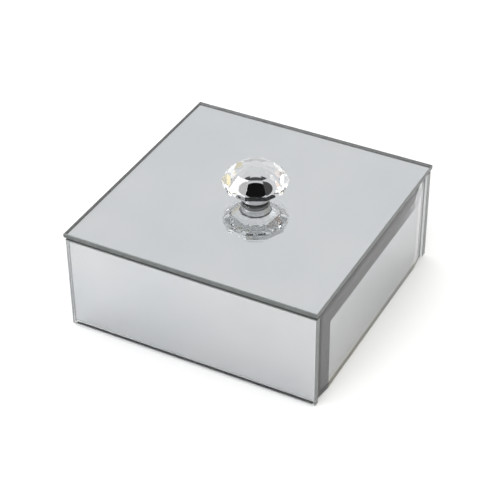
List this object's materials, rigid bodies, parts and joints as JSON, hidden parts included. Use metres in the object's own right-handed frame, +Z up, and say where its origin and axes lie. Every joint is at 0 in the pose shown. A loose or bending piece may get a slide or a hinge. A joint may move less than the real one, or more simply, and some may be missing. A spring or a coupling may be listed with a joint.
{
  "type": "vanity trinket box",
  "caption": "Square mirrored trinket box with bevelled side panels, a velvet-lined inside and a lift-off mirrored lid with a faceted crystal knob.",
  "frame": {"origin": "centre of the square footprint, on the surface that the box stands on", "axes": "+Z up, the way the lid lifts; the front mirror panel faces -Y; +X to the right, where a bevelled side panel is"},
  "size_m": [0.155, 0.155, 0.088],
  "materials": {
    "mirror_glass": "silvered clear glass with ground edges",
    "black_mdf": "fibreboard painted black",
    "velvet": "charcoal velvet on card",
    "felt": "pressed black felt",
    "crystal": "clear cut crystal with polished facets",
    "chrome": "bright chrome plate",
    "steel": "zinc-plated steel",
    "clear_plastic": "clear soft plastic"
  },
  "bodies": {
    "box": {"base_felt": "felt", "base_board": "black_mdf", "front_board": "black_mdf", "back_board": "black_mdf", "left_board": "black_mdf", "right_board": "black_mdf", "front_mirror": "mirror_glass", "back_mirror": "mirror_glass", "left_mirror": "mirror_glass", "right_mirror": "mirror_glass", "floor_lining": "velvet", "front_lining": "velvet", "back_lining": "velvet", "left_lining": "velvet", "right_lining": "velvet"},
    "lid": {"lid_mirror": "mirror_glass", "lid_backing": "black_mdf", "lid_locator": "black_mdf", "lid_lining": "velvet", "knob_crystal": "crystal", "knob_base": "chrome", "knob_gasket": "clear_plastic", "knob_screw": "steel", "knob_washer": "steel"}
  },
  "joints": [
    {"name": "lid_lift", "type": "slide", "parent": "box", "child": "lid", "axis": [0, 0, 1], "range_m": [0, 0.09]}
  ]
}
